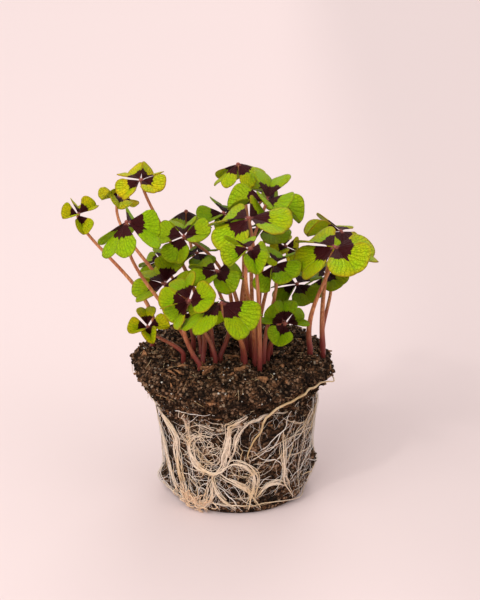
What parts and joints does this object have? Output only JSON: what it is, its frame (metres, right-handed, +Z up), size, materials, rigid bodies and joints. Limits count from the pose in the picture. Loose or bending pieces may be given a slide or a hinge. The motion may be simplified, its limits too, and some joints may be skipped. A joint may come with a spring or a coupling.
{
  "type": "iron cross oxalis plant",
  "caption": "Clover-like house plant out of its pot: a bare ball of soil and roots with red stalks, each with a leaf of heart-shaped leaflets marked with a dark cross.",
  "frame": {"origin": "centre of the root ball's flat base, on the surface that it rests on", "axes": "+Z up along the root ball and the stalks, -Y towards the side that the picture shows, +X to the right in it"},
  "size_m": [0.1525, 0.1229, 0.1685],
  "materials": {
    "leaf": "satin",
    "stalk": "satin",
    "soil": "matte",
    "roots": "matte"
  },
  "bodies": {
    "root": {"soil": "soil", "roots": "roots", "leaf_01": "leaf", "leaf_02": "leaf", "leaf_03": "leaf", "leaf_04": "leaf", "leaf_05": "leaf", "leaf_06": "leaf", "leaf_07": "leaf", "leaf_08": "leaf", "leaf_09": "leaf", "leaf_10": "leaf", "leaf_11": "leaf", "leaf_12": "leaf", "leaf_13": "leaf", "leaf_14": "leaf", "leaf_15": "leaf", "leaf_16": "leaf", "leaf_17": "leaf", "leaf_18": "leaf", "leaf_19": "leaf", "leaf_20": "leaf", "leaf_21": "leaf", "leaf_22": "leaf", "leaf_23": "leaf", "leaf_24": "leaf", "leaf_25": "leaf", "leaf_26": "leaf", "leaf_27": "leaf", "leaf_28": "leaf", "stalk_01": "stalk", "stalk_02": "stalk", "stalk_03": "stalk", "stalk_04": "stalk", "stalk_05": "stalk", "stalk_06": "stalk", "stalk_07": "stalk", "stalk_08": "stalk", "stalk_09": "stalk", "stalk_10": "stalk", "stalk_11": "stalk", "stalk_12": "stalk", "stalk_13": "stalk", "stalk_14": "stalk", "stalk_15": "stalk", "stalk_16": "stalk", "stalk_17": "stalk", "stalk_18": "stalk", "stalk_19": "stalk", "stalk_20": "stalk", "stalk_21": "stalk", "stalk_22": "stalk", "stalk_23": "stalk", "stalk_24": "stalk", "stalk_25": "stalk", "stalk_26": "stalk", "stalk_27": "stalk", "stalk_28": "stalk"}
  },
  "joints": []
}
